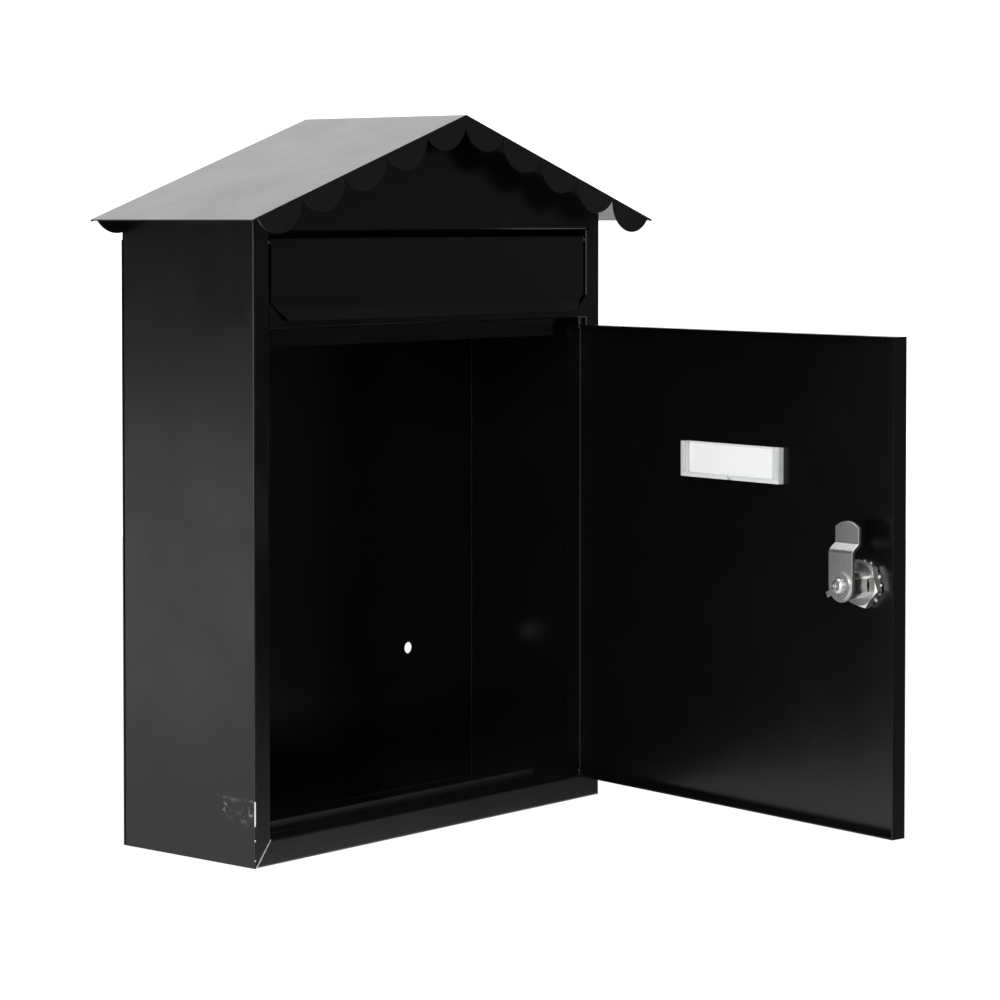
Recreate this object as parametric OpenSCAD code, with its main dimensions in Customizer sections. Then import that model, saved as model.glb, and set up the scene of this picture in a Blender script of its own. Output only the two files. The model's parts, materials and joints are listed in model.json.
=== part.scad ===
// Wall letter box with a gabled roof: a folded sheet-steel body, a lift-up letter
// flap, a side-hung door and a wafer cam lock.
// Lengths are millimetres. X runs to the right seen from the front, Y runs into the
// wall and Z runs up. The origin is the centre of the wall screws, on the back face.

/* [Body] */
// Width of the body across its side panels
body_w = 300; // [240:1:380]
// Depth of the body, from the wall to the front frame
body_d = 105; // [80:1:150]
// Height from the floor of the body to the ridge of the roof
body_h = 415; // [340:1:520]
// Thickness of every steel sheet
sheet_t = 0.8; // [0.6:0.1:1.2]
// Outside radius of the folds in the sheet
fold_r = 1.3; // [1.3:0.1:2]
// Width of the side panels' front flanges
jamb_w = 12.2; // [10:0.1:20]
// Height of the front flange under the door
sill_h = 14.5; // [10:0.1:25]
// Depth of the side panels' return folds behind the front flanges
jamb_return = 13.2; // [11:0.1:18]
// Width of the hidden flanges that the panels are spot welded by
weld_flange = 11; // [6:0.5:20]

/* [Roof] */
// Slope of the roof in degrees
roof_angle = 19.1; // [12:0.1:30]
// How far the roof stands out past each side panel
roof_side = 23.3; // [10:0.1:40]
// How far the roof stands out in front of the frame
roof_front = 22.5; // [10:0.1:40]
// Number of scallops along each slope
scallops = 5; // [3:1:8]
// Depth of one scallop below its cusps
scallop_drop = 13.6; // [6:0.1:16]
// Depth of the plain strip above the cusps
scallop_strip = 1.1; // [1:0.1:6]
// Plain length left at the eave end of each slope
eave_plain = 4; // [1:0.1:12]

/* [Front frame] */
// Height of the letter slot's frame, from the door rail to the gable panel
slot_h = 54; // [40:1:80]
// Distance from the gable panel's lower edge up to the top of the side panels
gable_rise = 13.3; // [8:0.1:25]
// Height of the rail's front face
rail_h = 6; // [4:0.1:12]
// How far the door stops lie behind the front face
stop_depth = 12; // [8:0.1:16]
// How far the upper door stop hangs below the rail
stop_drop = 10.5; // [5:0.1:16]
// How far the lower door stop stands above the sill
stop_rise = 6.8; // [4:0.1:10]
// Length cut off the right end of the lower door stop
sill_stop_cut = 37; // [20:1:60]
// Length cut off the right end of the upper door stop
rail_stop_cut = 15; // [10:1:40]

/* [Wall screws] */
// Distance between the wall screw holes across the back
screw_dx = 180; // [100:1:220]
// Distance between the wall screw holes up the back
screw_dz = 200; // [120:1:240]
// Height of the lower wall screw holes above the floor
screw_low = 88; // [40:1:110]
// Diameter of the wall screw holes
screw_d = 7; // [4:0.1:10]

/* [Door] */
// Gap between the door and each side of its opening
door_gap = 1.2; // [1:0.1:2]
// Gap under the door
door_gap_low = 0.6; // [0.4:0.1:2]
// Gap over the door, which lets it lift off its lower pin
door_gap_top = 3.9; // [3:0.1:8]
// Depth of the door's flanges
door_flange = 10.5; // [8:0.1:11.5]
// Diameter of the door's hinge pins
pin_d = 3; // [2:0.1:3.2]
// Room between a pin and the sheet that it stands beside
pin_room = 0.2; // [0.2:0.05:1]
// Radial clearance of a pin in its hole
pin_fit = 0.05; // [0.02:0.01:0.1]
// Angle that the door stands open
door_open = 80; // [0:1:110]

/* [Name plate] */
// Width of the name plate's opening in the door
plate_w = 82.3; // [50:1:110]
// Height of the name plate's opening in the door
plate_h = 21; // [14:0.5:40]
// Distance from the door's top edge down to the middle of the name plate
plate_drop = 76.6; // [30:1:120]
// Thickness of the name card
card_t = 0.4; // [0.2:0.1:0.8]

/* [Lock] */
// Distance of the lock's axis from the free edge of the door
lock_inset = 30.3; // [24:0.1:60]
// Diameter of the lock's barrel
barrel_d = 16; // [14:0.1:20]
// Width of the barrel across its two flats
barrel_flat = 14; // [12:0.1:17]
// Length of the barrel from the door's face
barrel_len = 18; // [16:0.1:26]
// Diameter of the lock's head
lock_head_d = 21; // [18:0.1:28]
// Diameter of the plug
plug_d = 12; // [9:0.1:12.5]
// Distance across the flats of the lock nut
nut_af = 24; // [20:0.1:28]
// Thickness of the lock nut
nut_t = 4.4; // [2:0.1:6]
// Length of the cam from the lock's axis to its tip
cam_len = 35.5; // [34:0.1:40]
// Width of the cam
cam_w = 18.2; // [14:0.1:20]
// Thickness of the cam
cam_t = 2; // [1.5:0.1:3]
// How far the cam's tip is cranked towards the door
cam_crank = 5.2; // [2:0.1:5]
// Number of wafers in the plug
wafers = 5; // [3:1:6]

/* [Letter flap] */
// Gap between the flap and each side of the frame
flap_gap = 2.4; // [1.5:0.1:5]
// Gap between the flap and the gable panel
flap_gap_top = 3.7; // [3:0.1:8]
// Depth of the flap's side and top flanges
flap_flange = 6; // [5:0.1:9]
// Height of the lip along the flap's lower edge
lip_h = 7.1; // [3:0.1:9]
// How far the lip stands out of the flap's face
lip_out = 4.4; // [2:0.1:6]
// Width of the flap's cut lower corners
corner_w = 12.1; // [5:0.1:20]
// Height of the flap's cut lower corners
corner_h = 10.4; // [6:0.1:20]
// How far the flap's face lies behind the face of the frame
flap_recess = 1; // [0:0.1:2]

/* [Hidden] */

arc = 64;                              // facets of a full circle, where one counts
fold_steps = 5;                        // facets of one fold
over = 1;                              // how far a cutter runs past what it cuts
half_t = sheet_t / 2;
fold_mid = fold_r - half_t;            // radius of a fold at mid-thickness
half_w = body_w / 2;
inner_x = half_w - jamb_w;             // half the width of the framed openings
face_y = -body_d;                      // plane of the front frame
slope = tan(roof_angle);
sheet_rise = sheet_t / cos(roof_angle);
side_top = roof_under(half_w);
gable_z = side_top - gable_rise;
rail_z = gable_z - slot_h;             // upper edge of the door opening
rail_top = rail_z + rail_h;
mitre_rise = jamb_w * 0.9;             // rise of the mitre beside the gable panel
mitre_gap = 0.3;
mount_z = screw_low + screw_dz / 2;
stop_y = face_y + stop_depth;          // front face of the door stops
roof_gap = 0.05;                       // how far the walls stop short of the roof's sheet

eave_x = half_w + roof_side;
slope_len = eave_x / cos(roof_angle);
scallop_chord = (slope_len - eave_plain) / scallops;
scallop_r = (pow(scallop_chord / 2, 2) + pow(scallop_drop, 2)) / (2 * scallop_drop);
fascia_drop = (scallop_strip + scallop_drop) / cos(roof_angle);
joggle_z = side_top - fascia_drop - 3; // the back panel steps in above this height

door_x = inner_x - door_gap;           // half the width of the door
door_low = sill_h + door_gap_low;
door_top = rail_z - door_gap_top;
pin_inset = sheet_t + pin_room + pin_d / 2;
pin_head_d = pin_d + 2 * pin_room - 0.1;
door_pin_x = door_x - pin_inset;
door_pin_y = face_y + pin_inset;
pin_head_t = 1;
pin_reach = 4;                         // how far a pin stands past the sheet it turns in

plate_z = door_top - plate_drop;
bezel = 2;                             // how far the holder laps the door's face
bezel_t = 1.2;
holder_wall = 1.2;
holder_depth = 4.6;                    // how far the holder stands behind the door's face
holder_fit = 0.15;
card_pocket = 1.0;                     // slot that the card slides down
rail_grip = 5;                         // how far the side rails reach over the card
ledge_h = 2.6;
notch_w = 3;

lock_x = -door_x + lock_inset;
lock_z = (door_low + door_top) / 2;
bore_r = plug_d / 2 + pin_fit;
lock_head_t = 2.5;
plug_rim_r = plug_d / 2 + 1.2;
plug_rim_t = 1.5;
drive = (plug_d - 0.69) / sqrt(2);     // square end of the plug
stop_t = 0.8;
stop_lug = 1.3;                        // depth of the stop in the barrel's end
stop_lug_w = 3;
stop_lug_in = plug_d / 2 + 0.3;         // radius of the lug's inner side
stop_seat = barrel_len + 0.1;
cam_seat = stop_seat + stop_t;
star_t = 1.1;
star_d = 15.5;
screw_head_d = 8;
nut_turn = 47;                         // heading of one corner of the nut
screw_r = 2;
wafer_t = 1.2;
wafer_pitch = 2.2;
wafer_first = 2.6;
wafer_w = 6;
wafer_l = 2 * sqrt(pow(plug_d / 2 - 0.1, 2) - pow(wafer_w / 2, 2));
spring_l = 2.4;
wafer_ear = sqrt(pow(plug_d / 2 - 0.54, 2) - pow(spring_l, 2)) - wafer_w / 2;
spring_wire = 0.3;

flap_x = inner_x - flap_gap;
flap_top = gable_z - flap_gap_top;
flap_low = rail_z + 4.1;
flap_fold = flap_low + lip_h;
flap_face = face_y + flap_recess;
flap_pin_z = flap_top - pin_inset;
flap_pin_y = flap_face + pin_inset;

paint = [0.045, 0.046, 0.05];
zinc = [0.78, 0.79, 0.8];
nickel = [0.82, 0.81, 0.78];
brass = [0.78, 0.62, 0.32];

// Height of the roof's underside at a distance x from the middle
function roof_under(x) = body_h - sheet_rise - abs(x) * slope;

// Heading of the line from p to q, in degrees
function heading(p, q) = atan2(q[1] - p[1], q[0] - p[0]);

// Turn at a corner of a folded strip, between -180 and 180 degrees
function turn(h0, h1) = let (d = h1 - h0) d > 180 ? d - 360 : d < -180 ? d + 360 : d;

// Points [x, y, heading] along the middle of a strip that is folded at each inner point
function fold_line(pts, r) = [
    for (i = [0 : len(pts) - 1])
        let (p = pts[i],
             h0 = i > 0 ? heading(pts[i - 1], p) : heading(p, pts[1]),
             h1 = i < len(pts) - 1 ? heading(p, pts[i + 1]) : h0,
             a = turn(h0, h1),
             side = a < 0 ? -1 : 1,
             back = r * tan(abs(a) / 2),
             c = p - back * [cos(h0), sin(h0)] + side * r * [-sin(h0), cos(h0)])
        for (k = [0 : abs(a) > 1 ? fold_steps : 0])
            let (h = h0 + a * k / fold_steps)
            abs(a) > 1 ? concat(c + side * r * [sin(h), -cos(h)], [h]) : concat(p, [h])
];

// Outline of a folded strip, given the middle of its sheet
module strip(pts, t = sheet_t, r = fold_mid) {
    line = fold_line(pts, r);
    last = len(line) - 1;
    left = [for (q = line) [q[0] - t / 2 * sin(q[2]), q[1] + t / 2 * cos(q[2])]];
    right = [for (i = [last : -1 : 0])
             [line[i][0] + t / 2 * sin(line[i][2]), line[i][1] - t / 2 * cos(line[i][2])]];
    polygon(concat(left, right));
}

// A block between two corners
module block(lo, hi) {
    translate(lo) cube(hi - lo);
}

// An outline in (y, z), drawn out from x0 to x1
module along_x(x0, x1) {
    translate([x0, 0, 0]) rotate([90, 0, 90]) linear_extrude(x1 - x0) children();
}

// An outline in (x, z), drawn out from y0 back to y1
module along_y(y0, y1) {
    translate([0, y1, 0]) rotate([90, 0, 0]) linear_extrude(y1 - y0) children();
}

// Puts the body's floor at its height below the wall screws
module placed() {
    translate([0, 0, -mount_z]) children();
}

// Turns what is drawn on the shut door to where the door stands
module on_door() {
    placed() translate([door_pin_x, door_pin_y, 0]) rotate([0, 0, door_open])
        translate([-door_pin_x, -door_pin_y, 0]) children();
}

// Puts the lock's axis, drawn along Z from the door's face, into the shut door
module at_lock() {
    on_door() translate([lock_x, face_y, lock_z]) rotate([-90, 0, 0]) children();
}

// Outline, in (x, z), of the wall between the floor and the roof, within half-width w
module house(w, z0) {
    polygon([[-w, z0], [w, z0], [w, roof_under(w) - roof_gap], [0, roof_under(0) - roof_gap],
             [-w, roof_under(w) - roof_gap]]);
}

// The weld flanges under the two slopes of the roof, from y0 back to y1
module roof_flanges(y0, y1) {
    low = sheet_rise / 2;
    end = half_w - sheet_t - 0.6;
    for (s = [-1, 1])
        along_y(y0, y1) polygon([for (p = [[4, 0], [end, 0], [end, 1], [4, 1]])
                                 [s * p[0], roof_under(p[0]) - p[1] * 2 * low]]);
}

module back_panel() {
    step_y = -2 * sheet_t;
    color(paint) placed() {
        difference() {
            block([-half_w, -sheet_t, 0], [half_w, 0, joggle_z]);
            for (sx = [-1, 1], sz = [0, 1])
                translate([sx * screw_dx / 2, over, screw_low + sz * screw_dz])
                    rotate([90, 0, 0]) cylinder(d = screw_d, h = sheet_t + 2 * over, $fn = arc);
        }
        along_y(step_y, -sheet_t) house(half_w, joggle_z - sheet_t);
        roof_flanges(step_y - weld_flange, step_y + 0.1);
    }
}

// Region of the front frame below the mitre beside the sill
module sill_mitre(shift) {
    polygon([[inner_x - over, -over], [half_w - sheet_t, -over], [half_w - sheet_t, shift],
             [inner_x, sill_h + shift], [inner_x - over, sill_h + shift]]);
}

// Region of the front frame above the mitre beside the gable panel
module gable_mitre(shift) {
    polygon([[inner_x - over, gable_z + shift], [inner_x, gable_z + shift],
             [half_w + over, gable_z + mitre_rise * (1 + over / jamb_w) + shift],
             [half_w + over, body_h], [inner_x - over, body_h]]);
}

// The right side panel; the left one is its mirror
module side_panel() {
    x = half_w - half_t;
    return_x = inner_x + half_t;
    difference() {
        linear_extrude(side_top)
            strip([[half_w - weld_flange, -1.5 * sheet_t], [x, -1.5 * sheet_t],
                   [x, face_y + half_t], [return_x, face_y + half_t],
                   [return_x, face_y + jamb_return]]);
        along_y(face_y - over, face_y + jamb_return + over) sill_mitre(mitre_gap / 2);
        along_y(face_y - over, face_y + sheet_t) gable_mitre(-mitre_gap / 2);
        block([inner_x - over, face_y + sheet_t - over, gable_z - mitre_gap],
              [inner_x + 3 * sheet_t, face_y + jamb_return + over, body_h]);
        block([inner_x - over, face_y + sheet_t, gable_z + mitre_rise - over],
              [half_w - sheet_t, face_y + jamb_return, body_h]);
        block([half_w - 2 * weld_flange, -2 * sheet_t, joggle_z - sheet_t],
              [half_w + over, over, body_h]);
        block([half_w - 2 * weld_flange, -5 * sheet_t, -over],
              [half_w - sheet_t, over, sheet_t + 0.2]);
        translate([inner_x, flap_pin_y, flap_pin_z]) rotate([0, 90, 0])
            cylinder(d = pin_d + 2 * pin_fit, h = 4 * sheet_t, center = true, $fn = arc);
    }
    along_y(face_y + 2 * weld_flange, -2 * weld_flange)
        polygon([for (p = [[half_w - half_t, 0], [half_w - weld_flange, 0],
                           [half_w - weld_flange, 1], [half_w - half_t, 1]])
                 [p[0], roof_under(p[0]) - p[1] * sheet_rise - 0.3]]);
}

module left_side() {
    color(paint) placed() mirror([1, 0, 0]) side_panel();
}

module right_side() {
    color(paint) placed() side_panel();
}

module floor_panel() {
    end = half_w - sheet_t;
    color(paint) placed() {
        difference() {
            along_x(-inner_x, inner_x)
                strip([[-1.5 * sheet_t, weld_flange], [-1.5 * sheet_t, half_t],
                       [face_y + half_t, half_t], [face_y + half_t, sill_h - half_t],
                       [stop_y + half_t, sill_h - half_t], [stop_y + half_t, sill_h + stop_rise]]);
            block([inner_x - sill_stop_cut, stop_y - fold_r, sill_h], [half_w, 0, body_h]);
            translate([door_pin_x, door_pin_y, sill_h]) cylinder(
                d = pin_d + 2 * pin_fit, h = 4 * sheet_t, center = true, $fn = arc);
            block([half_w - weld_flange, -2 * sheet_t, sheet_t], [half_w, 0, 2 * weld_flange]);
            block([-half_w, -2 * sheet_t, sheet_t], [-half_w + weld_flange, 0, 2 * weld_flange]);
        }
        intersection() {
            along_x(-end, end)
                strip([[-sheet_t, half_t], [face_y + half_t, half_t],
                       [face_y + half_t, sill_h - fold_r]]);
            union() {
                block([-end, face_y + fold_r, 0], [end, -sheet_t, fold_r]);
                along_y(face_y, face_y + fold_r)
                    polygon([[-end, 0], [end, 0], [inner_x, sill_h - mitre_gap / 2],
                             [-inner_x, sill_h - mitre_gap / 2]]);
            }
        }
    }
}

module gable_panel() {
    foot = gable_z + fold_r;
    color(paint) placed() {
        along_x(-inner_x, inner_x)
            strip([[face_y + weld_flange, gable_z + half_t], [face_y + half_t, gable_z + half_t],
                   [face_y + half_t, foot + over]]);
        along_y(face_y, face_y + sheet_t)
            difference() {
                house(half_w, foot);
                for (s = [-1, 1])
                    polygon([[s * inner_x, gable_z + mitre_gap / 2], [s * (half_w + over),
                              gable_z + mitre_gap / 2],
                             [s * (half_w + over),
                              gable_z + mitre_rise * (1 + over / jamb_w) + mitre_gap / 2]]);
            }
        roof_flanges(face_y + sheet_t - 0.1, face_y + sheet_t + weld_flange);
    }
}

module cross_rail() {
    hem = 3;
    ear_top = flap_low + corner_h - 0.3;
    ear_run = (ear_top - rail_top) * corner_w / (corner_h + over);
    color(paint) placed() difference() {
        union() {
            along_x(-inner_x, inner_x)
                strip([[stop_y + half_t, rail_top - hem], [stop_y + half_t, rail_top - half_t],
                       [face_y + half_t, rail_top - half_t], [face_y + half_t, rail_z + half_t],
                       [stop_y + half_t, rail_z + half_t], [stop_y + half_t, rail_z - stop_drop]]);
            for (s = [-1, 1])
                along_y(face_y, face_y + sheet_t)
                    polygon([[s * inner_x, rail_z + fold_r], [s * inner_x, ear_top],
                             [s * (inner_x - ear_run), rail_top],
                             [s * (inner_x - ear_run), rail_z + fold_r]]);
        }
        block([inner_x - rail_stop_cut, stop_y - fold_r, 0], [half_w, 0, rail_z]);
        translate([door_pin_x, door_pin_y, rail_z]) cylinder(
            d = pin_d + 2 * pin_fit, h = 4 * sheet_t, center = true, $fn = arc);
    }
}

// Scalloped edge of the slope on side s, as an outline in (x, z)
module scalloped_edge(s) {
    tip = sheet_t * slope;
    translate([0, body_h]) mirror([s < 0 ? 1 : 0, 0]) rotate(-roof_angle) {
        translate([tip, -scallop_strip - 0.2]) square([slope_len - tip, scallop_strip]);
        intersection() {
            translate([tip, -scallop_strip - 2 * scallop_drop])
                square([slope_len, 2 * scallop_drop + over]);
            for (i = [0 : scallops - 1])
                translate([scallop_chord * (i + 0.5), -scallop_strip - scallop_drop + scallop_r])
                    circle(r = scallop_r, $fn = arc);
        }
    }
}

module roof() {
    y0 = face_y - roof_front;
    mid = body_h - sheet_rise / 2;
    color(paint) placed() {
        along_y(y0, 0)
            strip([[-eave_x, mid - eave_x * slope], [0, mid], [eave_x, mid - eave_x * slope]]);
        for (y = [y0, -sheet_t])
            along_y(y, y + sheet_t)
                difference() {
                    union() for (s = [-1, 1]) scalloped_edge(s);
                    translate([-0.3, 0]) square([0.6, body_h - 4]);
                }
    }
}

// The shut door's outline across (x, y) and up (y, z), shrunk by inset
module door_tray(inset) {
    r = fold_r - inset;
    x = door_x - inset;
    y0 = face_y + inset;
    y1 = face_y + door_flange + inset;
    intersection() {
        translate([0, 0, door_low + inset]) linear_extrude(door_top - door_low - 2 * inset)
            rounded_front(-x, x, y0, y1, r);
        along_x(-x, x)
            translate([0, 0]) rotate(90) mirror([0, 1])
                rounded_front(door_low + inset, door_top - inset, y0, y1, r);
    }
}

// A rectangle whose two corners at y0 are rounded
module rounded_front(x0, x1, y0, y1, r) {
    function corner(cx, a0) = [for (k = [0 : fold_steps])
        let (a = a0 + 90 * k / fold_steps) [cx + r * cos(a), y0 + r + r * sin(a)]];
    polygon(concat(corner(x0 + r, 180), corner(x1 - r, 270), [[x1, y1], [x0, y1]]));
}

module door_panel() {
    color(paint) on_door() difference() {
        door_tray(0);
        door_tray(sheet_t);
        block([-plate_w / 2, face_y - over, plate_z - plate_h / 2],
              [plate_w / 2, face_y + sheet_t + over, plate_z + plate_h / 2]);
        translate([lock_x, face_y, lock_z]) rotate([90, 0, 0]) intersection() {
            cylinder(d = barrel_d + 0.2, h = 4 * sheet_t, center = true, $fn = arc);
            cube([barrel_flat + 0.2, 2 * barrel_d, 5 * sheet_t], center = true);
        }
        for (z = [door_low, door_top])
            translate([door_pin_x, door_pin_y, z])
                cylinder(d = pin_d, h = 4 * sheet_t, center = true, $fn = arc);
    }
}

// A hinge pin: a head inside the door and a shank that ends at height tip
module door_pin(sheet_z, up, tip, shoulder) {
    inside = sheet_z - up * (fold_r + pin_head_t);
    translate([door_pin_x, door_pin_y, 0]) {
        translate([0, 0, min(inside, tip)]) cylinder(d = pin_d, h = abs(tip - inside), $fn = arc);
        translate([0, 0, up > 0 ? inside : inside - pin_head_t])
            cylinder(d = pin_head_d, h = pin_head_t, $fn = arc);
        if (shoulder > 0)
            translate([0, 0, sheet_z - shoulder]) cylinder(d = pin_d + 1.6, h = shoulder, $fn = arc);
    }
}

module door_pin_upper() {
    color(zinc) on_door() door_pin(door_top, 1, rail_z + pin_reach, 0);
}

module door_pin_lower() {
    color(zinc) on_door() door_pin(door_low, -1, sill_h - sheet_t - pin_reach, door_gap_low - 0.2);
}

module name_holder() {
    w = plate_w / 2 - holder_fit;
    h = plate_h / 2 - holder_fit;
    back = face_y + holder_depth;
    card_y = face_y + holder_wall;
    color([0.9, 0.93, 0.95, 0.5]) on_door() translate([0, 0, plate_z]) {
        block([-w - bezel, face_y - bezel_t, -h - bezel], [w + bezel, face_y, h + bezel]);
        difference() {
            block([-w, face_y - 0.1, -h], [w, back, h]);
            block([-w + holder_wall, card_y, -h + holder_wall],
                  [w - holder_wall, card_y + card_pocket, h + over]);
            block([-w + rail_grip, card_y, -h + ledge_h], [w - rail_grip, back + over, h + over]);
            block([-w + holder_wall, card_y + card_pocket + holder_wall, -h + ledge_h],
                  [-w + rail_grip - holder_wall, back + over, h + over]);
            block([w - rail_grip + holder_wall, card_y + card_pocket + holder_wall, -h + ledge_h],
                  [w - holder_wall, back + over, h + over]);
            block([-notch_w / 2, card_y + card_pocket, -h - over], [notch_w / 2, back + over, h]);
        }
    }
}

module name_card() {
    w = plate_w / 2 - holder_fit - holder_wall - 0.2;
    h = plate_h / 2 - holder_fit - holder_wall;
    y = face_y + holder_wall + (card_pocket - card_t) / 2;
    color("white") on_door() translate([0, 0, plate_z])
        block([-w, y, -h], [w, y + card_t, h]);
}

// Outline of the barrel, with its two flats
module barrel_outline() {
    intersection() {
        circle(d = barrel_d, $fn = arc);
        square([barrel_flat, 2 * barrel_d], center = true);
    }
}

// A sector of a disc from angle a0 to a1, out to radius r
module sector(a0, a1, r) {
    steps = 8;
    polygon(concat([[0, 0]], [for (k = [0 : steps])
        let (a = a0 + (a1 - a0) * k / steps) [r * cos(a), r * sin(a)]]));
}

module lock_body() {
    chamfer = 0.8;
    groove = wafer_t + 0.4;
    lug = asin(stop_lug_w / 2 / stop_lug_in) + 1.5;
    color(nickel) at_lock() difference() {
        union() {
            translate([0, 0, -lock_head_t]) cylinder(
                r1 = lock_head_d / 2 - chamfer, r2 = lock_head_d / 2, h = chamfer, $fn = arc);
            translate([0, 0, chamfer - lock_head_t])
                cylinder(d = lock_head_d, h = lock_head_t - chamfer, $fn = arc);
            linear_extrude(barrel_len) barrel_outline();
        }
        translate([0, 0, -lock_head_t - over])
            cylinder(r = bore_r, h = barrel_len + lock_head_t + 2 * over, $fn = arc);
        translate([0, 0, -lock_head_t - over])
            cylinder(r = plug_rim_r + pin_fit, h = plug_rim_t + pin_fit + over, $fn = arc);
        for (i = [0 : wafers - 1])
            translate([0, 0, wafer_first + i * wafer_pitch + wafer_t / 2])
                cube([wafer_w + 0.4, 2 * (bore_r + 0.9), groove], center = true);
        translate([0, 0, barrel_len - stop_lug])
            linear_extrude(stop_lug + over) sector(-90 - lug, lug, barrel_d);
    }
}

module lock_plug() {
    shank = barrel_len - stop_lug - 0.1;
    color(brass) at_lock() difference() {
        union() {
            translate([0, 0, -lock_head_t]) cylinder(r = plug_rim_r, h = plug_rim_t, $fn = arc);
            translate([0, 0, -lock_head_t]) cylinder(d = plug_d, h = lock_head_t + shank, $fn = arc);
            translate([-drive / 2, -drive / 2, shank - 0.1])
                cube([drive, drive, cam_seat + cam_t - shank]);
        }
        translate([0, 0, -lock_head_t + 6])
            cube([2, 8.4, 14], center = true);
        for (i = [0 : wafers - 1])
            translate([0, 0, wafer_first + i * wafer_pitch + wafer_t / 2]) {
                cube([wafer_w + 0.2, plug_d + over, wafer_t + 0.1], center = true);
                translate([wafer_w / 2 + wafer_ear / 2, 0, 0])
                    cube([wafer_ear + 0.2, 2 * spring_l + 0.4, wafer_t + 0.1], center = true);
            }
        translate([0, 0, barrel_len - 4]) cylinder(r = screw_r, h = 20, $fn = arc);
    }
}

module lock_wafers() {
    color(brass) at_lock()
        for (i = [0 : wafers - 1])
            translate([0, 0, wafer_first + i * wafer_pitch]) linear_extrude(wafer_t)
                difference() {
                    union() {
                        square([wafer_w, wafer_l], center = true);
                        translate([wafer_w / 2 - 0.1, 0]) square([wafer_ear, spring_l - 0.1]);
                    }
                    translate([0, i % 2 == 0 ? 0.4 : -0.4]) square([2.6, 6], center = true);
                }
}

module wafer_springs() {
    coil_r = wafer_t / 2 - spring_wire / 2 - 0.05;
    color(zinc) at_lock()
        for (i = [0 : wafers - 1])
            translate([wafer_w / 2 + wafer_ear / 2, -spring_l - 0.05,
                       wafer_first + i * wafer_pitch + wafer_t / 2])
                rotate([-90, 0, 0]) linear_extrude(spring_l, twist = -360 * 3, slices = 30)
                    translate([coil_r, 0]) circle(d = spring_wire, $fn = 6);
}

module lock_nut() {
    color(zinc) at_lock() translate([0, 0, sheet_t + 0.9]) difference() {
        intersection() {
            rotate(nut_turn) cylinder(d = nut_af / cos(30), h = nut_t, $fn = 6);
            union() {
                cylinder(d = nut_af * 1.2, h = nut_t - 0.9, $fn = arc);
                translate([0, 0, nut_t - 0.9])
                    cylinder(r1 = nut_af * 0.58, r2 = nut_af * 0.5, h = 0.9, $fn = arc);
            }
        }
        translate([0, 0, -over]) linear_extrude(nut_t + 2 * over) barrel_outline_clear();
    }
}

// The barrel's round outline, as the nut and its washer pass over it
module barrel_outline_clear() {
    circle(d = barrel_d, $fn = arc);
}

module tooth_washer() {
    teeth = 16;
    color(zinc) at_lock() translate([0, 0, sheet_t]) linear_extrude(0.9) difference() {
        union() {
            circle(r = nut_af * 0.5, $fn = arc);
            for (i = [0 : teeth - 1])
                rotate(i * 360 / teeth) translate([nut_af * 0.5 - 0.5, -0.8]) square([1.6, 1.6]);
        }
        barrel_outline_clear();
    }
}

// The square end of the plug, as the plates on it are cut
module drive_hole() {
    square(drive + 0.1, center = true);
}

module stop_washer() {
    ear_w = 3.2;
    ear_reach = barrel_d / 2 + 6;
    color(zinc) at_lock() {
        translate([0, 0, stop_seat]) linear_extrude(stop_t - 0.02) difference() {
            union() {
                circle(d = barrel_d, $fn = arc);
                rotate(26) translate([0, -ear_w / 2]) square([ear_reach, ear_w]);
            }
            drive_hole();
        }
        translate([stop_lug_in, -stop_lug_w / 2, barrel_len - stop_lug + 0.2])
            cube([barrel_d / 2 - 0.3 - stop_lug_in, stop_lug_w, stop_lug]);
    }
}

module lock_cam() {
    base = 19;                         // height of the cam's flat base above the axis
    run = 4;                           // height of the crank
    tip_r = cam_w * 0.75;
    z0 = cam_seat;
    color(zinc) at_lock() difference() {
        intersection() {
            along_x(-cam_w, cam_w)
                strip([[cam_w, z0 + cam_t / 2], [-base, z0 + cam_t / 2],
                       [-base - run, z0 + cam_t / 2 - cam_crank],
                       [-cam_len - over, z0 + cam_t / 2 - cam_crank]], cam_t, cam_t);
            linear_extrude(z0 + 2 * cam_t) {
                circle(d = cam_w, $fn = arc);
                translate([-cam_w / 2, -cam_len + tip_r]) square([cam_w, cam_len - tip_r]);
                intersection() {
                    translate([0, -cam_len + tip_r]) circle(r = tip_r, $fn = arc);
                    translate([-cam_w / 2, -cam_len]) square([cam_w, cam_len]);
                }
            }
        }
        translate([0, 0, z0 - over]) linear_extrude(cam_t + 2 * over) drive_hole();
    }
}

module star_washer() {
    teeth = 12;
    color(zinc) at_lock() translate([0, 0, cam_seat + cam_t]) linear_extrude(star_t) difference() {
        circle(d = star_d, $fn = arc);
        circle(r = screw_r + 0.2, $fn = arc);
        for (i = [0 : teeth - 1])
            rotate(i * 360 / teeth) translate([star_d / 2 - 3.2, -0.45]) square([1.8, 0.9]);
    }
}

module cam_screw() {
    head_z = cam_seat + cam_t + star_t;
    head_t = 2.2;
    dome = 0.9;
    cross_w = 1.1;
    cross_l = 4.4;
    color(zinc) at_lock() difference() {
        union() {
            translate([0, 0, barrel_len - 3.8]) cylinder(r = screw_r, h = head_z - barrel_len + 3.9, $fn = arc);
            translate([0, 0, head_z]) cylinder(d = screw_head_d, h = head_t - dome, $fn = arc);
            translate([0, 0, head_z + head_t - dome])
                cylinder(r1 = screw_head_d / 2, r2 = screw_head_d / 2 - 1.3, h = dome, $fn = arc);
        }
        for (a = [0, 90])
            rotate(a) translate([-cross_l / 2, -cross_w / 2, head_z + head_t - 1.6])
                cube([cross_l, cross_w, 2]);
    }
}

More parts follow.
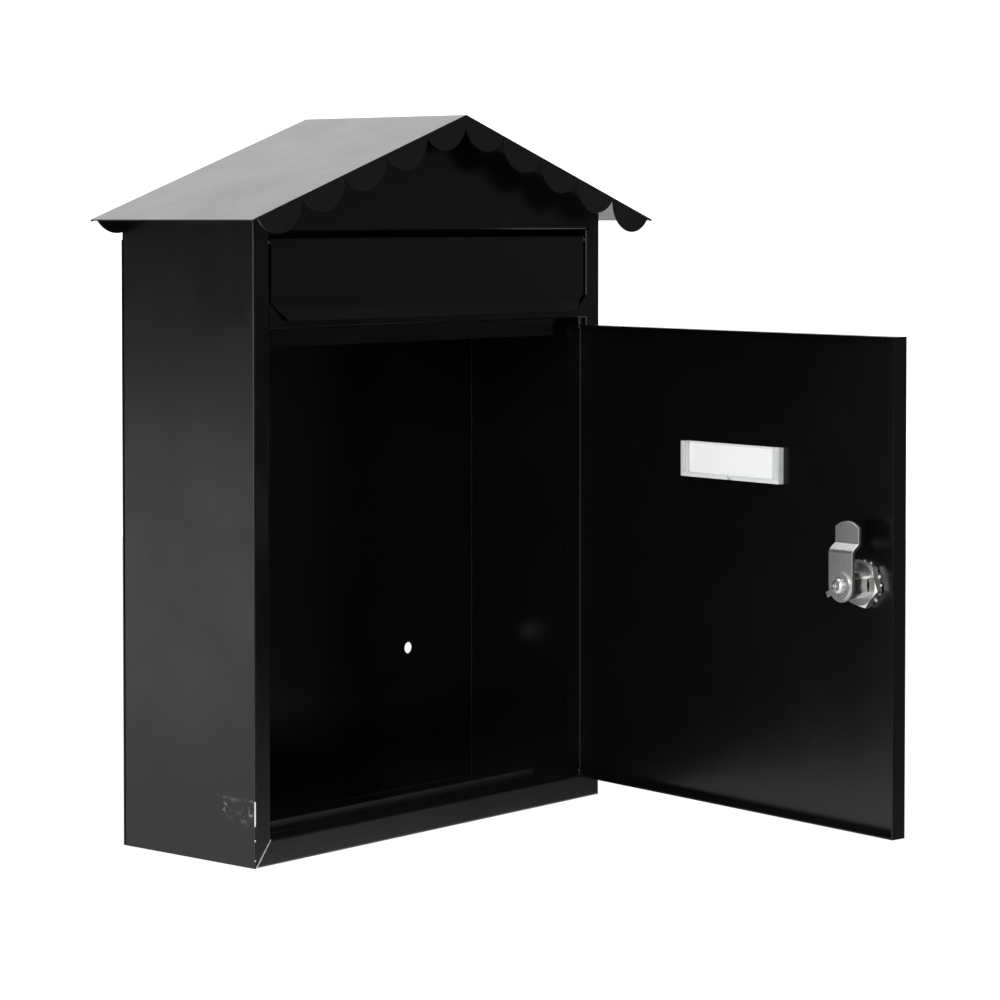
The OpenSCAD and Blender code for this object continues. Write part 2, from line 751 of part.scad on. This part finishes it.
// Outline, in (x, z), of the flap with its two cut corners
module flap_outline(inset) {
    x = flap_x - inset;
    polygon([[-x, flap_top], [-x, flap_low + corner_h], [-x + corner_w, flap_low - over],
             [x - corner_w, flap_low - over], [x, flap_low + corner_h], [x, flap_top]]);
}

module letter_flap() {
    depth = flap_face + flap_flange;
    side_z = flap_low + corner_h;
    color(paint) placed() difference() {
        union() {
            intersection() {
                along_x(-flap_x, flap_x)
                    strip([[depth, flap_top - half_t], [flap_face + half_t, flap_top - half_t],
                           [flap_face + half_t, flap_fold], [flap_face + half_t - lip_out, flap_low]]);
                along_y(face_y - 2 * lip_out, depth) flap_outline(0);
                translate([0, 0, flap_low]) linear_extrude(flap_top - flap_low)
                    rounded_front(-flap_x, flap_x, face_y - 2 * lip_out, depth, 0.01);
            }
            for (s = [-1, 1])
                block([s > 0 ? flap_x - sheet_t : -flap_x, flap_face, side_z],
                      [s > 0 ? flap_x : -flap_x + sheet_t, depth, flap_top]);
        }
        for (s = [-1, 1])
            translate([s * flap_x, flap_pin_y, flap_pin_z]) rotate([0, 90, 0])
                cylinder(d = pin_d, h = 4 * sheet_t, center = true, $fn = arc);
    }
}

// The pin of the flap at side s: a head inside the flap's flange, a shank through the frame
module flap_pin(s) {
    inside = flap_x - sheet_t;
    reach = inner_x + sheet_t + 1.5;
    color(zinc) placed() translate([0, flap_pin_y, flap_pin_z]) rotate([0, s * 90, 0]) {
        translate([0, 0, inside]) cylinder(d = pin_d, h = reach - inside, $fn = arc);
        translate([0, 0, inside - pin_head_t]) cylinder(d = pin_head_d, h = pin_head_t, $fn = arc);
    }
}

module flap_pin_left() {
    flap_pin(-1);
}

module flap_pin_right() {
    flap_pin(1);
}

back_panel();
left_side();
right_side();
floor_panel();
gable_panel();
cross_rail();
roof();
door_panel();
door_pin_upper();
door_pin_lower();
name_holder();
name_card();
lock_body();
lock_nut();
tooth_washer();
lock_plug();
lock_wafers();
wafer_springs();
stop_washer();
lock_cam();
star_washer();
cam_screw();
letter_flap();
flap_pin_left();
flap_pin_right();
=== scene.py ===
import json
import math

import bmesh
import bpy
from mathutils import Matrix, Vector, noise


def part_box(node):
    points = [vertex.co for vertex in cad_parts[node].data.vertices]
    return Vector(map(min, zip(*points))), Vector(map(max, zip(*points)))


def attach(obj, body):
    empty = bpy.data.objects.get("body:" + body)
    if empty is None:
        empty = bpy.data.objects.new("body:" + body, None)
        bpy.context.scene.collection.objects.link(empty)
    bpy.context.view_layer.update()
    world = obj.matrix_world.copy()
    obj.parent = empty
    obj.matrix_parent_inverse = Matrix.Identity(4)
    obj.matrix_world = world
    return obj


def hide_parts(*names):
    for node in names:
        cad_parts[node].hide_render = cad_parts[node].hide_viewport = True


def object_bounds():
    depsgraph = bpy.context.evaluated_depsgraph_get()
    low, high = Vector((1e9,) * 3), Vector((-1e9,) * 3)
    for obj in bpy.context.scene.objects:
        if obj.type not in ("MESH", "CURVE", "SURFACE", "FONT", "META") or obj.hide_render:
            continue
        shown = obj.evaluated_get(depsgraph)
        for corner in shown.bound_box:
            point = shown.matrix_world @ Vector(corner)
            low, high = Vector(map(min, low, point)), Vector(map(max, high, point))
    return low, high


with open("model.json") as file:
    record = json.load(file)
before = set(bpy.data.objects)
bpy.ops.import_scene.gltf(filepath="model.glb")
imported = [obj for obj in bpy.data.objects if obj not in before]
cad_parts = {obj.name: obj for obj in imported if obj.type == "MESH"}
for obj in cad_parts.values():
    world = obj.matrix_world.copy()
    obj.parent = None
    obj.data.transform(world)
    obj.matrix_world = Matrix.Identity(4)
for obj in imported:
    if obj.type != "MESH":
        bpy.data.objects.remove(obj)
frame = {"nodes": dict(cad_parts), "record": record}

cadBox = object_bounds()
scene = bpy.context.scene
mm = 0.001

bodies = frame["record"]["behaviour"]["bodies"]
bodyOf = {node: body for body, nodes in bodies.items() for node in nodes}
slotOf = {part["node"]: part["material_slot"] for part in frame["record"]["subparts"]}


# sRGB hex to the linear colour that a shader takes
def hexColour(code):
    parts = [int(code[i:i + 2], 16) / 255 for i in (1, 3, 5)]
    linear = [c / 12.92 if c <= 0.04045 else ((c + 0.055) / 1.055) ** 2.4 for c in parts]
    return (*linear, 1.0)


# adds one node: settings are its properties and unlinked inputs, links its linked inputs
def addNode(tree, kind, settings=None, links=None):
    made = tree.nodes.new(kind)
    for key, value in (settings or {}).items():
        if isinstance(key, str) and hasattr(made, key):
            setattr(made, key, value)
        else:
            made.inputs[key].default_value = value
    for key, source in (links or {}).items():
        tree.links.new(source, made.inputs[key])
    return made


def newMaterial(name):
    material = bpy.data.materials.new(name)
    material.use_nodes = True
    material.node_tree.nodes.clear()
    return material, material.node_tree


def finishMaterial(tree, shader):
    addNode(tree, "ShaderNodeOutputMaterial", links={"Surface": shader})


# the paint's sizes and colours
powderCoat = {
    "colour": "#080808",
    "dusty": "#111111",
    "roughness": (0.19, 0.27),
    "orangePeel": 2.2,          # mm between the waves of the orange peel
    "peelDepth": 0.0007,        # mm
    "sheetWave": 70,            # mm between the slow waves of thin folded sheet
    "sheetWaveDepth": 0.010,    # mm
    "cloud": 45,                # mm between the duller clouds
    "grit": 0.35,               # mm, specks of dust, drawn coarser than real ones so that they show
    "gloss": 0.5,               # 0.5 is the full reflection of the coat's IOR
}


# a soft-edged box in a piece's own coordinates, 1 inside and 0 outside; lo and hi in mm
def boxMask(tree, place, lo, hi, soft):
    split = addNode(tree, "ShaderNodeSeparateXYZ", links={0: place})
    mask = None
    for axis in range(3):
        if lo[axis] is None:
            continue
        middle = (lo[axis] + hi[axis]) / 2 * mm
        half = (hi[axis] - lo[axis]) / 2 * mm
        offset = addNode(tree, "ShaderNodeMath", {"operation": "SUBTRACT", 1: middle},
                         {0: split.outputs[axis]})
        away = addNode(tree, "ShaderNodeMath", {"operation": "ABSOLUTE"}, {0: offset.outputs[0]})
        inside = addNode(tree, "ShaderNodeMapRange",
                         {"interpolation_type": "SMOOTHSTEP", "From Min": half + soft * mm,
                          "From Max": half - soft * mm}, {"Value": away.outputs[0]})
        if mask is None:
            mask = inside.outputs[0]
        else:
            mask = addNode(tree, "ShaderNodeMath", {"operation": "MULTIPLY"},
                           {0: mask, 1: inside.outputs[0]}).outputs[0]
    return mask


# lays a torn or chipped patch over a colour and a roughness
def addPatch(tree, place, patch, colour, rough):
    p = {"detail": 5.0, "breakUp": 0.65, "edge": 0.10, "strength": 1.0, **patch}
    mask = boxMask(tree, place, p["lo"], p["hi"], p["soft"])
    grain = addNode(tree, "ShaderNodeTexNoise",
                    {"Scale": 1 / (p["grain"] * mm), "Detail": p["detail"], "Roughness": p["breakUp"]},
                    {"Vector": place})
    ragged = addNode(tree, "ShaderNodeMapRange",
                     {"From Min": p["cut"], "From Max": p["cut"] + p["edge"], "To Max": p["strength"]},
                     {"Value": grain.outputs["Fac"]})
    share = addNode(tree, "ShaderNodeMath", {"operation": "MULTIPLY"},
                    {0: mask, 1: ragged.outputs[0]}).outputs[0]
    colour = addNode(tree, "ShaderNodeMix", {"data_type": "RGBA", 7: hexColour(p["colour"])},
                     {0: share, 6: colour}).outputs[2]
    rough = addNode(tree, "ShaderNodeMix", {"data_type": "FLOAT", 3: p["roughness"]},
                    {0: share, 2: rough}).outputs[0]
    return colour, rough


# black powder coat on folded steel: deep black, its sharp reflections softened by fine orange peel
def makePowderCoat(name, patches=(), **changes):
    p = {**powderCoat, **changes}
    material, tree = newMaterial(name)
    place = addNode(tree, "ShaderNodeTexCoord").outputs["Object"]
    cloudy = addNode(tree, "ShaderNodeTexNoise",
                     {"Scale": 1 / (p["cloud"] * mm), "Detail": 4.0, "Roughness": 0.6}, {"Vector": place})
    rough = addNode(tree, "ShaderNodeMapRange",
                    {"From Min": 0.3, "From Max": 0.7,
                     "To Min": p["roughness"][0], "To Max": p["roughness"][1]},
                    {"Value": cloudy.outputs["Fac"]}).outputs[0]
    specks = addNode(tree, "ShaderNodeTexNoise", {"Scale": 1 / (p["grit"] * mm), "Detail": 2.0},
                     {"Vector": place})
    dust = addNode(tree, "ShaderNodeMapRange", {"From Min": 0.62, "From Max": 0.80},
                   {"Value": specks.outputs["Fac"]})
    colour = addNode(tree, "ShaderNodeMix",
                     {"data_type": "RGBA", 6: hexColour(p["colour"]), 7: hexColour(p["dusty"])},
                     {0: dust.outputs[0]}).outputs[2]
    for patch in patches:
        colour, rough = addPatch(tree, place, patch, colour, rough)

    peel = addNode(tree, "ShaderNodeTexNoise", {"Scale": 1 / (p["orangePeel"] * mm), "Detail": 1.5},
                   {"Vector": place})
    wave = addNode(tree, "ShaderNodeTexNoise", {"Scale": 1 / (p["sheetWave"] * mm), "Detail": 1.0},
                   {"Vector": place})
    slow = addNode(tree, "ShaderNodeBump", {"Strength": 1.0, "Distance": p["sheetWaveDepth"] * mm},
                   {"Height": wave.outputs["Fac"]})
    fine = addNode(tree, "ShaderNodeBump", {"Strength": 1.0, "Distance": p["peelDepth"] * mm},
                   {"Height": peel.outputs["Fac"], "Normal": slow.outputs["Normal"]})
    shader = addNode(tree, "ShaderNodeBsdfPrincipled",
                     {"IOR": 1.5, "Metallic": 0.0, "Specular IOR Level": p["gloss"]},
                     {"Base Color": colour, "Roughness": rough, "Normal": fine.outputs["Normal"]})
    finishMaterial(tree, shader.outputs[0])
    return material


toolMark = 0.45  # mm between the marks on metal, coarser than real ones so that they show


# metal: an even colour with a faint cloudiness and, where grain is given, fine marks of the tool
def makeMetal(name, light, dark, roughness, grain=0.0, cloud=4.0):
    material, tree = newMaterial(name)
    place = addNode(tree, "ShaderNodeTexCoord").outputs["Object"]
    cloudy = addNode(tree, "ShaderNodeTexNoise",
                     {"Scale": 1 / (cloud * mm), "Detail": 5.0, "Roughness": 0.6}, {"Vector": place})
    mix = addNode(tree, "ShaderNodeMapRange", {"From Min": 0.35, "From Max": 0.65},
                  {"Value": cloudy.outputs["Fac"]})
    colour = addNode(tree, "ShaderNodeMix",
                     {"data_type": "RGBA", 6: hexColour(dark), 7: hexColour(light)},
                     {0: mix.outputs[0]})
    rough = addNode(tree, "ShaderNodeMapRange", {"To Min": roughness[1], "To Max": roughness[0]},
                    {"Value": mix.outputs[0]})
    links = {"Base Color": colour.outputs[2], "Roughness": rough.outputs[0]}
    if grain:
        fine = addNode(tree, "ShaderNodeTexNoise", {"Scale": 1 / (toolMark * mm), "Detail": 3.0},
                       {"Vector": place})
        bump = addNode(tree, "ShaderNodeBump", {"Strength": 1.0, "Distance": grain * mm},
                       {"Height": fine.outputs["Fac"]})
        links["Normal"] = bump.outputs["Normal"]
    shader = addNode(tree, "ShaderNodeBsdfPrincipled", {"Metallic": 1.0}, links)
    finishMaterial(tree, shader.outputs[0])
    return material


# clear moulded polystyrene: bright polished edges and a slight haze
def makeClearPlastic():
    material, tree = newMaterial("clear moulded polystyrene")
    place = addNode(tree, "ShaderNodeTexCoord").outputs["Object"]
    haze = addNode(tree, "ShaderNodeTexNoise", {"Scale": 1 / (6 * mm), "Detail": 2.0}, {"Vector": place})
    rough = addNode(tree, "ShaderNodeMapRange", {"To Min": 0.05, "To Max": 0.12},
                    {"Value": haze.outputs["Fac"]})
    shader = addNode(tree, "ShaderNodeBsdfPrincipled",
                     {"Base Color": hexColour("#f6f8f8"), "IOR": 1.59, "Transmission Weight": 0.45},
                     {"Roughness": rough.outputs[0]})
    finishMaterial(tree, shader.outputs[0])
    return material


# uncoated white card: matt, with a faint fibre mottle
def makeCard():
    material, tree = newMaterial("uncoated white card")
    place = addNode(tree, "ShaderNodeTexCoord").outputs["Object"]
    fibre = addNode(tree, "ShaderNodeTexNoise", {"Scale": 1 / (0.8 * mm), "Detail": 5.0, "Roughness": 0.7},
                    {"Vector": place})
    colour = addNode(tree, "ShaderNodeMix",
                     {"data_type": "RGBA", 6: hexColour("#ecedee"), 7: hexColour("#f6f6f6")},
                     {0: fibre.outputs["Fac"]})
    bump = addNode(tree, "ShaderNodeBump", {"Strength": 0.3, "Distance": 0.02 * mm},
                   {"Height": fibre.outputs["Fac"]})
    shader = addNode(tree, "ShaderNodeBsdfPrincipled", {"Roughness": 0.75},
                     {"Base Color": colour.outputs[2], "Normal": bump.outputs["Normal"]})
    finishMaterial(tree, shader.outputs[0])
    return material


# residue of adhesive tape by the lower front corner: dull, with pale torn streaks along its ends
tape = {"soft": 1.0, "grain": 3.2, "colour": "#a5a5a2", "roughness": 0.5}
tapeMarks = [
    {"lo": (None, -104.5, -165.5), "hi": (None, -79.5, -150.8), "cut": 0.54, "strength": 0.14,
     "colour": "#8f8f8c"},
    {"lo": (None, -104.0, -151.6), "hi": (None, -80.0, -150.6), "cut": 0.42, "strength": 0.14},
    {"lo": (None, -83.5, -160.0), "hi": (None, -80.0, -151.5), "cut": 0.52, "strength": 0.26},
    {"lo": (None, -104.0, -161.0), "hi": (None, -100.5, -155.0), "cut": 0.50, "strength": 0.35},
    {"lo": (None, -98.5, -165.0), "hi": (None, -95.5, -162.5), "cut": 0.47, "strength": 0.32},
]

# chips through to the steel along the same corner
chip = {"soft": 0.15, "grain": 1.1, "detail": 3.0, "breakUp": 0.5, "edge": 0.04,
        "colour": "#e3e3e0", "roughness": 0.32}
chips = [
    {"lo": (-150.2, -105.2, -164.8), "hi": (-149.3, -104.3, -151.2), "cut": 0.30},
    {"lo": (-150.2, -105.4, -173.2), "hi": (-149.3, -104.4, -172.2), "cut": 0.35},
    {"lo": (-150.2, -105.4, -184.0), "hi": (-149.3, -104.4, -183.3), "cut": 0.35},
]
sidePatches = [{**tape, **mark} for mark in tapeMarks] + [{**chip, **spot} for spot in chips]

materials = {
    "black_paint": makePowderCoat("gloss black powder coated steel"),
    # bright zinc: a pale, almost even silver
    "zinc_steel": makeMetal("bright zinc plated steel", "#dadbdb", "#cccdce", (0.34, 0.40), 0.0008, 7.0),
    # satin nickel: warmer and shinier than the zinc
    "nickel_zinc": makeMetal("satin nickel plated zinc casting", "#dad8d4", "#c6c4c0", (0.16, 0.26), 0.001),
    # turned brass: a soft yellow gleam in the keyway
    "brass": makeMetal("turned brass", "#c9a869", "#b08f52", (0.2, 0.32), 0.001),
    "clear_plastic": makeClearPlastic(),
    "white_card": makeCard(),
}
sidePaint = makePowderCoat("gloss black powder coated steel, marked", sidePatches)
# the same coat, a little greyer on the roof: painted sheen, a lighter base colour and lighter specks
# standing in for the brighter reflection that the roof's faces show
roofSheenCoat = makePowderCoat("black powder coated steel, greyed as painted sheen", colour="#131314", dusty="#1e1e1f")
# the door's coat is a little flatter, so that the lock hardly shows in it
doorPaint = makePowderCoat("satin black powder coated steel", roughness=(0.22, 0.28), gloss=0.42)
# ground weld: bright and uneven
bareWeld = makeMetal("ground bare weld", "#f2f2f0", "#c4c4c0", (0.3, 0.45), 0.004, 1.2)
print("materials made")


def addObject(name, mesh, body, material, replaced=()):
    piece = bpy.data.objects.new(name, mesh)
    scene.collection.objects.link(piece)
    piece.data.materials.clear()
    piece.data.materials.append(material)
    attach(piece, body)
    if replaced:
        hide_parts(*replaced)
    return piece


# sizes in mm for joining up flat faces, and degrees
dressing = {"join": 0.002, "collapse": 0.001, "flat": 0.6, "edgeTurn": 24, "edgeSteps": 2}


# a sub-part with its flat faces joined up, and its edges broken as a press or a mould leaves them
def dressNode(node, name, edge, material):
    bm = bmesh.new()
    bm.from_mesh(frame["nodes"][node].data)
    bmesh.ops.remove_doubles(bm, verts=bm.verts, dist=dressing["join"] * mm)
    bmesh.ops.dissolve_degenerate(bm, edges=bm.edges, dist=dressing["collapse"] * mm)
    flat = math.radians(dressing["flat"])
    bmesh.ops.dissolve_limit(bm, angle_limit=flat, verts=bm.verts, edges=bm.edges)
    for face in bm.faces:
        face.smooth = True
    mesh = bpy.data.meshes.new(name)
    bm.to_mesh(mesh)
    bm.free()
    piece = addObject(name, mesh, bodyOf[node], material, (node,))
    if edge:
        bevel = piece.modifiers.new("broken edges", "BEVEL")
        bevel.width = edge * mm
        bevel.segments = dressing["edgeSteps"]
        bevel.limit_method = "ANGLE"
        bevel.angle_limit = math.radians(dressing["edgeTurn"])
        bevel.use_clamp_overlap = True
        bevel.miter_outer = "MITER_ARC"
    even = piece.modifiers.new("even shading", "WEIGHTED_NORMAL")
    even.keep_sharp = True
    even.weight = 90
    return piece


# mm that each kind of edge is broken by
edges = {"sheet": 0.22, "rim": 0.34, "plate": 0.22, "nut": 0.3, "plastic": 0.25, "pin": 0.15, "card": 0.05,
         "wire": None}
dressed = [
    ("back_panel", "backSheet", "sheet"), ("left_side", "leftSideSheet", "sheet"),
    ("right_side", "rightSideSheet", "sheet"), ("floor_panel", "floorSheet", "sheet"),
    ("gable_panel", "gableSheet", "sheet"), ("cross_rail", "railSheet", "sheet"),
    ("roof", "scallopedRoof", "rim"), ("door_panel", "doorSheet", "sheet"),
    ("letter_flap", "flapSheet", "rim"), ("door_pin_upper", "upperDoorPin", "pin"),
    ("door_pin_lower", "lowerDoorPin", "pin"), ("flap_pin_left", "leftFlapPin", "pin"),
    ("flap_pin_right", "rightFlapPin", "pin"), ("name_holder", "cardHolder", "plastic"),
    ("name_card", "nameCard", "card"), ("lock_body", "lockCasting", "plate"),
    ("lock_nut", "lockNut", "nut"), ("tooth_washer", "toothWasher", "pin"),
    ("lock_plug", "lockPlug", "pin"), ("lock_wafers", "lockWafers", "card"),
    ("wafer_springs", "waferSprings", "wire"), ("stop_washer", "stopWasher", "pin"),
    ("lock_cam", "lockCam", "plate"), ("star_washer", "starWasher", "pin"),
    ("cam_screw", "camScrew", "pin"),
]
ownPaint = {"left_side": sidePaint, "roof": roofSheenCoat, "door_panel": doorPaint}
for node, name, edge in dressed:
    dressNode(node, name, edges[edge], ownPaint.get(node, materials[slotOf[node]]))
print("sheets and plates made:", len(dressed))


# weld along the lower left mitre of the front frame; widths, heights and depths in mm
weld = {
    "width": (1.3, 0.8),      # at its foot and its head
    "height": 0.25,
    "depth": 0.3,             # how far it reaches into the sheet
    "start": (1.0, 0.4),      # from the box's lower left corner
    "end": (12.2, 14.5),      # the corner of the door's opening
    "steps": 26,
    "sides": 6,
    "waves": 9,
    "seed": 4,
    "sway": 0.12,
}


# a low uneven bead from a to b, standing out of the face whose normal is out
def makeBead(name, a, b, out, material):
    along = (b - a).normalized()
    across = along.cross(out).normalized()
    bm = bmesh.new()
    rows = []
    for i in range(weld["steps"] + 1):
        t = i / weld["steps"]
        wobble = noise.noise(Vector((t * weld["waves"], weld["seed"], 0)))
        foot, head = weld["width"]
        taper = min(1.0, 0.35 + 5 * min(t, 1 - t))
        width = (foot + (head - foot) * t) * mm * (0.8 + 0.3 * wobble) * taper
        centre = a.lerp(b, t) + across * wobble * weld["sway"] * mm
        row = []
        for k in range(weld["sides"] + 1):
            u = k / weld["sides"] * math.pi
            row.append(bm.verts.new(centre + across * math.cos(u) * width / 2
                                    + out * math.sin(u) * weld["height"] * mm * (0.8 + 0.4 * wobble)))
        for k in range(weld["sides"]):
            row.append(bm.verts.new(centre + across * (2 * (k + 0.5) / weld["sides"] - 1) * width / 2
                                    - out * weld["depth"] * mm))
        rows.append(row)
    for low, high in zip(rows, rows[1:]):
        for k in range(len(low)):
            n = (k + 1) % len(low)
            bm.faces.new((low[k], low[n], high[n], high[k]))
    bm.faces.new(rows[0][::-1])
    bm.faces.new(rows[-1])
    bmesh.ops.recalc_face_normals(bm, faces=bm.faces)
    for face in bm.faces:
        face.smooth = True
    mesh = bpy.data.meshes.new(name)
    bm.to_mesh(mesh)
    bm.free()
    return addObject(name, mesh, "body", material)


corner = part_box("left_side")[0]
weldEnds = [Vector((corner.x + right * mm, corner.y, corner.z + up * mm))
            for right, up in (weld["start"], weld["end"])]
makeBead("lowerLeftWeld", *weldEnds, Vector((0, -1, 0)), bareWeld)
print("weld made")


# studio: pale floor, white backdrop and soft light; metres and degrees
studio = {
    "heading": 49.5,                  # from +Y towards +X, the way that the paper floor runs
    "floorDrop": 0.25,                # from the letter box down to the floor, as it hangs on a wall
    "floorLength": (-1.3, 4.3),
    "floorHalfWidth": 1.15,
    "floorGlow": 1.05,
    "backdropRadius": 4.2,
    "backdropTop": 4.4,
    "backdropSpan": (20, 68),         # from +Y towards +X
    "backdropGlow": 1.5,
    "reflectorRadius": 2.2,
    "reflectorHeights": (-0.85, 0.0),
    "reflectorSpan": (-80, -38),
    "reflectorGlow": 1.3,
    "topFade": (-0.11, -0.02),        # heights over which the reflector dims to topShare of its glow
    "topShare": 0.04,
    "footFade": (-0.68, -0.36),       # and over which it comes up from footShare
    "footShare": 0.4,
    "surroundings": 0.10,
}
softboxes = [
    {"name": "overheadSoftbox", "place": (0.0, 0.2, 2.6), "aim": (0.0, 0.0, 0.0), "size": (2.0, 2.0),
     "watts": 110},
    {"name": "cameraSideSoftbox", "place": (-2.0, -1.6, 1.1), "aim": (0.05, -0.15, 0.0),
     "size": (1.2, 1.2), "watts": 36},
    {"name": "leftStrip", "place": (-2.4, -0.55, 0.1), "aim": (0.05, -0.15, 0.0), "size": (0.8, 1.8),
     "watts": 17},
]


def smoothRamp(tree, value, start, end, low, high):
    return addNode(tree, "ShaderNodeMapRange",
                   {"interpolation_type": "SMOOTHSTEP", "From Min": start, "From Max": end,
                    "To Min": low, "To Max": high}, {"Value": value}).outputs[0]


# an even white glow, as of lit paper
def makeGlow(name, glow):
    material, tree = newMaterial(name)
    shader = addNode(tree, "ShaderNodeEmission", {"Color": (1, 1, 1, 1), "Strength": glow})
    finishMaterial(tree, shader.outputs[0])
    return material


# a white glow that dims towards its top and its foot, so that it leaves no hard line in the paint
def makeFadedGlow(name, glow):
    material, tree = newMaterial(name)
    place = addNode(tree, "ShaderNodeTexCoord").outputs["Object"]
    height = addNode(tree, "ShaderNodeSeparateXYZ", links={0: place}).outputs[2]
    top = smoothRamp(tree, height, *studio["topFade"], glow, studio["topShare"] * glow)
    foot = smoothRamp(tree, height, *studio["footFade"], studio["footShare"], 1.0)
    strength = addNode(tree, "ShaderNodeMath", {"operation": "MULTIPLY"}, {0: top, 1: foot})
    shader = addNode(tree, "ShaderNodeEmission", {"Color": (1, 1, 1, 1)}, {"Strength": strength.outputs[0]})
    finishMaterial(tree, shader.outputs[0])
    return material


def stageMesh(name, bm, material):
    mesh = bpy.data.meshes.new(name)
    bm.to_mesh(mesh)
    bm.free()
    piece = bpy.data.objects.new(name, mesh)
    mesh.materials.append(material)
    scene.collection.objects.link(piece)
    return piece


floorZ = cadBox[0][2] - studio["floorDrop"]


def makeFloor():
    heading = math.radians(studio["heading"])
    ahead = Vector((math.sin(heading), math.cos(heading), 0))
    aside = Vector((math.cos(heading), -math.sin(heading), 0))
    bm = bmesh.new()
    corners = []
    for end, side in ((0, -1), (0, 1), (1, 1), (1, -1)):
        place = ahead * studio["floorLength"][end] + aside * side * studio["floorHalfWidth"]
        corners.append(bm.verts.new(place + Vector((0, 0, floorZ))))
    bm.faces.new(corners)
    return stageMesh("paleFloor", bm, makeGlow("pale paper floor", studio["floorGlow"]))


# an upright wall round the origin; its span in degrees from +Y towards +X
def makeArc(name, radius, span, heights, material):
    steps = 48
    bm = bmesh.new()
    rim = []
    for i in range(steps + 1):
        turn = math.radians(span[0] + (span[1] - span[0]) * i / steps)
        x = radius * math.sin(turn)
        y = radius * math.cos(turn)
        rim.append([bm.verts.new((x, y, z)) for z in heights])
    for low, high in zip(rim, rim[1:]):
        bm.faces.new((low[0], high[0], high[1], low[1]))
    return stageMesh(name, bm, material)


makeFloor()
makeArc("whiteBackdrop", studio["backdropRadius"], studio["backdropSpan"],
        (floorZ, studio["backdropTop"]), makeGlow("lit white backdrop", studio["backdropGlow"]))
makeArc("lowReflector", studio["reflectorRadius"], studio["reflectorSpan"],
        studio["reflectorHeights"], makeFadedGlow("lit reflector", studio["reflectorGlow"]))

world = bpy.data.worlds.new("dim studio")
scene.world = world
world.use_nodes = True
surround = world.node_tree.nodes["Background"]
surround.inputs["Color"].default_value = (1, 1, 1, 1)
surround.inputs["Strength"].default_value = studio["surroundings"]

for box in softboxes:
    light = bpy.data.lights.new(box["name"], "AREA")
    light.shape = "RECTANGLE"
    light.size, light.size_y = box["size"]
    light.energy = box["watts"]
    lamp = bpy.data.objects.new(box["name"], light)
    scene.collection.objects.link(lamp)
    lamp.location = box["place"]
    aim = Vector(box["aim"]) - Vector(box["place"])
    lamp.rotation_euler = aim.to_track_quat("-Z", "Y").to_euler()
print("studio made")


# camera: turned from +Y towards +X and dipped, in degrees; the frame is shifted and not tilted
view = {"place": (-1.3844, -1.3352, 0.1675), "turn": 49.50, "dip": 2.00, "lens": 115.18, "sensor": 36,
        "rise": -0.1697}

cameraData = bpy.data.cameras.new("camera")
cameraData.sensor_width = view["sensor"]
cameraData.lens = view["lens"]
cameraData.shift_y = view["rise"]
cameraData.clip_end = 50
camera = bpy.data.objects.new("camera", cameraData)
camera.location = view["place"]
camera.rotation_euler = (math.radians(90 - view["dip"]), 0, math.radians(-view["turn"]))
scene.collection.objects.link(camera)
scene.camera = camera
scene.view_settings.view_transform = "Standard"

print("scene ready")
